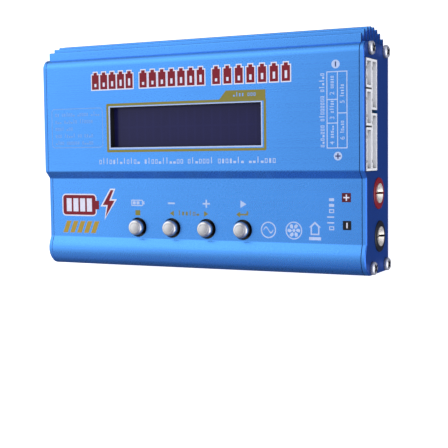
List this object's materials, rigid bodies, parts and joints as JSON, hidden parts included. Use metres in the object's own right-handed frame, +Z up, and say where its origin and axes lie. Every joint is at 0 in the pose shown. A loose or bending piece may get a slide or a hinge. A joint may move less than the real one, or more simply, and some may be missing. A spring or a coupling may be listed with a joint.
{
  "type": "battery balance charger",
  "caption": "Compact finned aluminium hobby battery charger with a display window, push buttons, balance sockets and output sockets.",
  "frame": {"origin": "on the surface the rubber feet rest on, under the middle of the case with its fins and screw heads", "axes": "+X along the case to the socket end, +Y from the front face to the rear fins, +Z up out of the control face"},
  "size_m": [0.136, 0.087, 0.0304],
  "materials": {
    "blue_case": "blue anodised, fine bead-blasted satin",
    "blue_plate": "blue anodised, satin",
    "screw_steel": "bright nickel plated steel",
    "foot_rubber": "matt black rubber",
    "board_green": "green solder mask on glass epoxy",
    "standoff_brass": "turned brass",
    "black_plastic": "black moulded plastic",
    "ferrite": "dark grey ferrite",
    "copper": "enamelled copper wire",
    "can_aluminium": "plain drawn aluminium",
    "chip_ceramic": "black moulded chip resin",
    "heat_aluminium": "plain extruded aluminium",
    "display_glass": "dark blue display glass, switched off",
    "backlight": "white diffuser",
    "bezel_black": "black lacquered sheet steel",
    "button_chrome": "polished chrome",
    "plunger_plastic": "black moulded plastic",
    "socket_white": "white nylon",
    "pin_tin": "tinned brass",
    "collar_red": "red moulded plastic",
    "collar_black": "black moulded plastic",
    "contact_nickel": "bright nickel plated brass"
  },
  "bodies": {
    "case": {"balance_pcb": "board_green", "balance_pins_2_cell": "pin_tin", "balance_pins_3_cell": "pin_tin", "balance_pins_4_cell": "pin_tin", "balance_pins_5_cell": "pin_tin", "balance_pins_6_cell": "pin_tin", "balance_resistors": "chip_ceramic", "balance_socket_2_cell": "socket_white", "balance_socket_3_cell": "socket_white", "balance_socket_4_cell": "socket_white", "balance_socket_5_cell": "socket_white", "balance_socket_6_cell": "socket_white", "base_screws": "screw_steel", "board_screws": "screw_steel", "buzzer": "black_plastic", "capacitors": "can_aluminium", "heat_bar": "heat_aluminium", "inductor_cores": "ferrite", "inductor_windings": "copper", "inlet_jack": "black_plastic", "inlet_pin": "contact_nickel", "key_pcb": "board_green", "key_standoffs": "standoff_brass", "lcd_backlight": "backlight", "lcd_bezel": "bezel_black", "lcd_glass": "display_glass", "lcd_header": "black_plastic", "lcd_pcb": "board_green", "lcd_standoffs": "standoff_brass", "left_end_plate": "blue_plate", "left_end_screws": "screw_steel", "lower_shell": "blue_case", "main_pcb": "board_green", "microcontroller": "chip_ceramic", "negative_socket_collar": "collar_black", "negative_socket_contact": "contact_nickel", "output_tags": "pin_tin", "pcb_screws": "screw_steel", "pcb_standoffs": "standoff_brass", "positive_socket_collar": "collar_red", "positive_socket_contact": "contact_nickel", "power_transistors": "chip_ceramic", "right_end_plate": "blue_plate", "right_end_screws": "screw_steel", "rubber_feet": "foot_rubber", "sensor_pins": "pin_tin", "sensor_socket": "socket_white", "socket_nuts": "pin_tin", "switch_housings": "black_plastic", "transistor_screws": "screw_steel", "upper_shell": "blue_case"},
    "battery_type_key": {"battery_type_button": "button_chrome", "battery_type_plunger": "plunger_plastic"},
    "decrease_key": {"decrease_button": "button_chrome", "decrease_plunger": "plunger_plastic"},
    "increase_key": {"increase_button": "button_chrome", "increase_plunger": "plunger_plastic"},
    "start_key": {"start_button": "button_chrome", "start_plunger": "plunger_plastic"}
  },
  "joints": [
    {"name": "battery_type_press", "type": "slide", "parent": "case", "child": "battery_type_key", "axis": [0, 0, -1], "range_m": [0, 0.0005], "stiffness_N_per_m": 800},
    {"name": "decrease_press", "type": "slide", "parent": "case", "child": "decrease_key", "axis": [0, 0, -1], "range_m": [0, 0.0005], "stiffness_N_per_m": 800},
    {"name": "increase_press", "type": "slide", "parent": "case", "child": "increase_key", "axis": [0, 0, -1], "range_m": [0, 0.0005], "stiffness_N_per_m": 800},
    {"name": "start_press", "type": "slide", "parent": "case", "child": "start_key", "axis": [0, 0, -1], "range_m": [0, 0.0005], "stiffness_N_per_m": 800}
  ]
}
